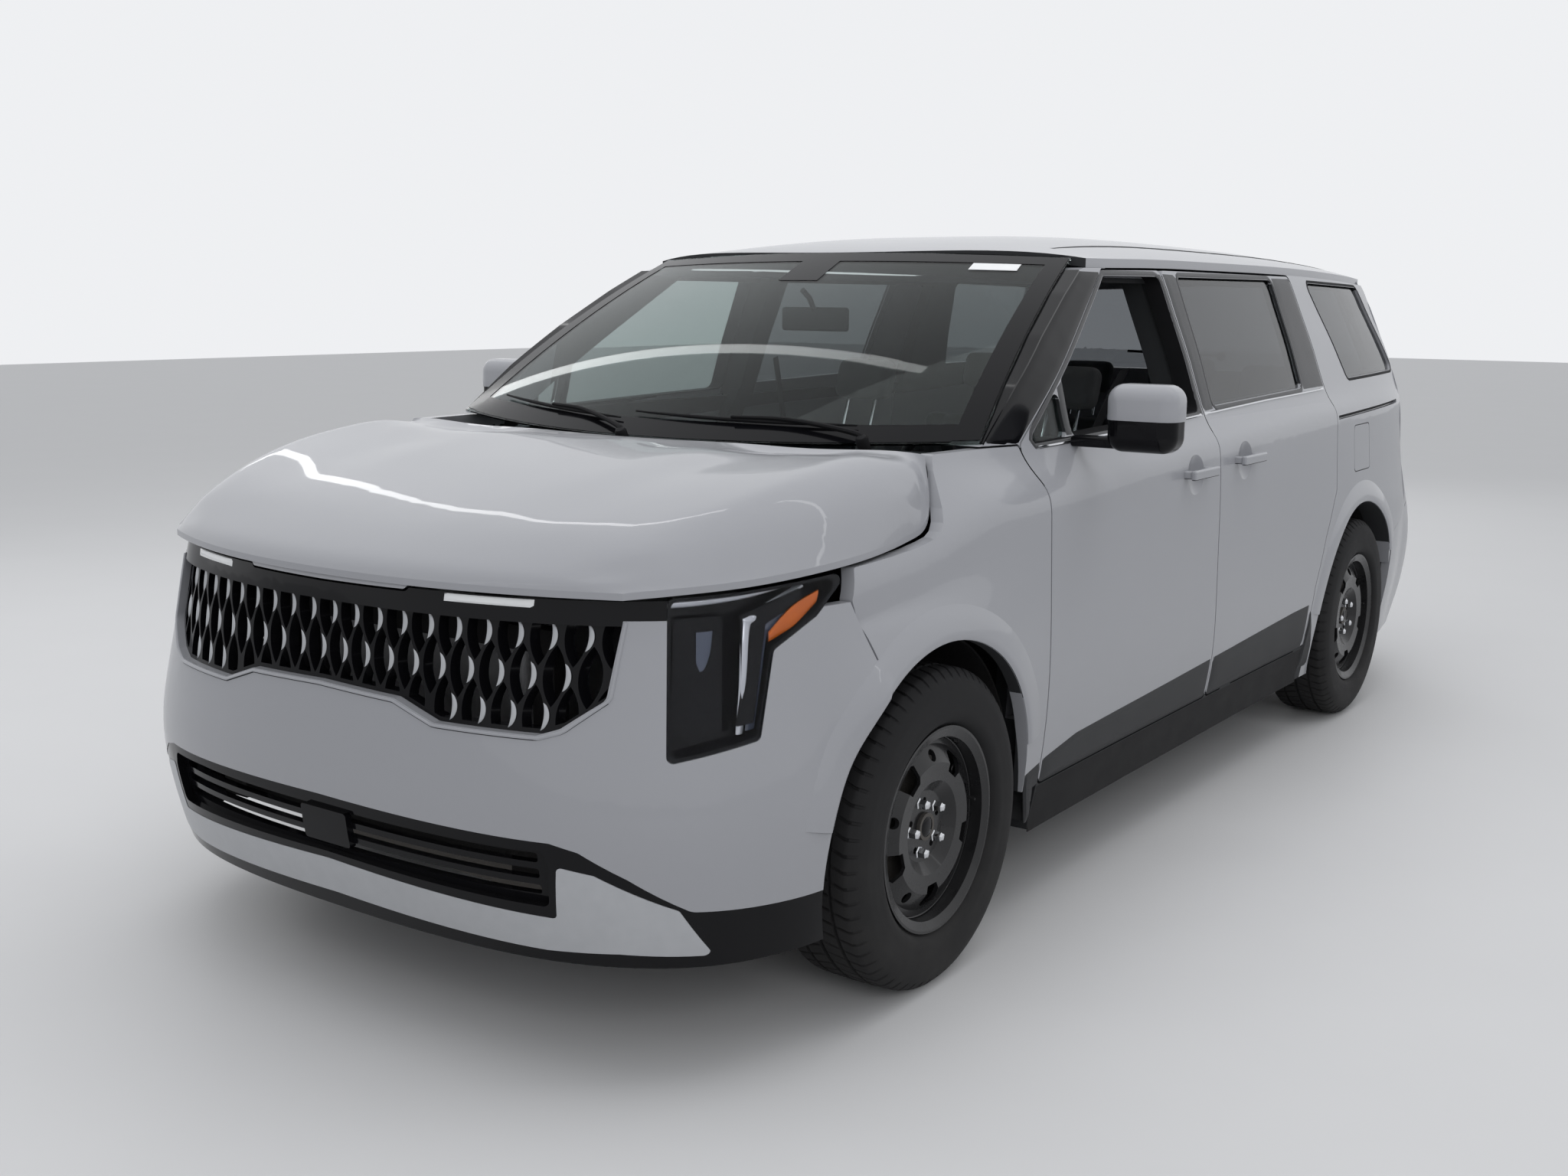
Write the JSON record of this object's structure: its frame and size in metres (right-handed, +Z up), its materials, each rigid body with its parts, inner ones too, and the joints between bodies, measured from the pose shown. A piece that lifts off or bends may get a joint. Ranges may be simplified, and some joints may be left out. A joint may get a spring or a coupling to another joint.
{
  "type": "minivan",
  "caption": "Minivan with sliding side doors, hinged front doors, hood, tailgate and fuel flap, steered front wheels and rows of seats.",
  "frame": {"origin": "on the ground under the middle of the body", "axes": "+X to the van's left side, +Y to its rear, +Z up; the front faces -Y"},
  "size_m": [2.372, 5.155, 1.7399],
  "materials": {
    "body_paint": "gloss light cool grey",
    "underbody_paint": "satin black",
    "gloss_black": "gloss",
    "matte_black": "fine grain",
    "silver_trim": "satin silver",
    "lamp_lens": "clear",
    "red_lens": "gloss red",
    "clear_glass": "clear, faint green",
    "privacy_glass": "dark",
    "dash_plastic": "fine grain",
    "wheel_leather": "smooth",
    "seat_fabric": "woven",
    "wheel_black": "gloss black",
    "tyre_rubber": "matte",
    "cast_iron": "raw",
    "exhaust_steel": "dull",
    "aluminium_block": "cast"
  },
  "bodies": {
    "body": {"floor": "underbody_paint", "front_frame": "underbody_paint", "front_suspension": "cast_iron", "rear_suspension": "cast_iron", "exhaust": "exhaust_steel", "fuel_tank": "matte_black", "engine": "aluminium_block", "side_left": "body_paint", "side_right": "body_paint", "fenders": "body_paint", "windshield": "clear_glass", "roof": "body_paint", "cowl_panel": "matte_black", "front_bumper": "body_paint", "bumper_garnish": "silver_trim", "grille": "gloss_black", "headlamp_lenses": "lamp_lens", "headlamp_housings": "gloss_black", "rear_bumper": "body_paint", "tail_lamps": "red_lens", "sliding_doors": "body_paint", "side_glass": "privacy_glass", "dashboard": "dash_plastic", "front_seats": "seat_fabric", "second_row_seats": "seat_fabric", "third_row_seat": "seat_fabric"},
    "hood": {"hood": "body_paint"},
    "tailgate": {"tailgate": "body_paint", "tailgate_glass": "privacy_glass"},
    "fuel_flap": {"fuel_flap": "body_paint"},
    "front_door_left": {"front_door_left": "body_paint", "corner_glass_left": "clear_glass", "mirror_left": "gloss_black"},
    "front_door_right": {"front_door_right": "body_paint", "door_glass_right": "clear_glass", "mirror_right": "gloss_black"},
    "steering_wheel": {"steering_wheel": "wheel_leather"},
    "knuckle_left": {"knuckle_left": "cast_iron"},
    "knuckle_right": {"knuckle_right": "cast_iron"},
    "wheel_front_left": {"rim_front_left": "wheel_black", "tyre_front_left": "tyre_rubber"},
    "wheel_front_right": {"rim_front_right": "wheel_black", "tyre_front_right": "tyre_rubber"},
    "wheel_rear_left": {"rim_rear_left": "wheel_black", "tyre_rear_left": "tyre_rubber"},
    "wheel_rear_right": {"rim_rear_right": "wheel_black", "tyre_rear_right": "tyre_rubber"}
  },
  "joints": [
    {"name": "hood_hinge", "type": "hinge", "parent": "body", "child": "hood", "pos_m": [0, -1.522, 1.203], "axis": [-1, 0, 0], "range_deg": [0, 60]},
    {"name": "tailgate_hinge", "type": "hinge", "parent": "body", "child": "tailgate", "pos_m": [0, 2.182, 1.694], "axis": [1, 0, 0], "range_deg": [0, 85]},
    {"name": "fuel_flap_hinge", "type": "hinge", "parent": "body", "child": "fuel_flap", "pos_m": [0.973, 1.343, 1], "axis": [0, 0, -1], "range_deg": [0, 85]},
    {"name": "front_door_left_hinge", "type": "hinge", "parent": "body", "child": "front_door_left", "pos_m": [0.988, -1.142, 0.75], "axis": [0, 0, -1], "range_deg": [0, 65]},
    {"name": "front_door_right_hinge", "type": "hinge", "parent": "body", "child": "front_door_right", "pos_m": [-0.988, -1.142, 0.75], "axis": [0, 0, 1], "range_deg": [0, 65]},
    {"name": "steer_left", "type": "hinge", "parent": "body", "child": "knuckle_left", "pos_m": [0.8, -1.643, 0.2346], "axis": [-0.2425, 0, 0.9701], "range_deg": [-35, 35]},
    {"name": "steer_right", "type": "hinge", "parent": "body", "child": "knuckle_right", "pos_m": [-0.8, -1.643, 0.2346], "axis": [0.2425, 0, 0.9701], "range_deg": [-35, 35]},
    {"name": "steering_wheel_turn", "type": "hinge", "parent": "body", "child": "steering_wheel", "pos_m": [0.385, -0.56, 1], "axis": [0, 0.9135, 0.4067], "range_deg": [-531, 531]},
    {"name": "wheel_front_left_spin", "type": "hinge", "parent": "knuckle_left", "child": "wheel_front_left", "pos_m": [0.868, -1.643, 0.3686], "axis": [1, 0, 0], "continuous": true},
    {"name": "wheel_front_right_spin", "type": "hinge", "parent": "knuckle_right", "child": "wheel_front_right", "pos_m": [-0.868, -1.643, 0.3686], "axis": [1, 0, 0], "continuous": true},
    {"name": "wheel_rear_left_spin", "type": "hinge", "parent": "body", "child": "wheel_rear_left", "pos_m": [0.868, 1.447, 0.3686], "axis": [1, 0, 0], "continuous": true},
    {"name": "wheel_rear_right_spin", "type": "hinge", "parent": "body", "child": "wheel_rear_right", "pos_m": [-0.868, 1.447, 0.3686], "axis": [1, 0, 0], "continuous": true}
  ],
  "couplings": [
    {"joint": "steer_right", "follows": "steer_left", "ratio": 1},
    {"joint": "steering_wheel_turn", "follows": "steer_left", "ratio": 15.15}
  ]
}
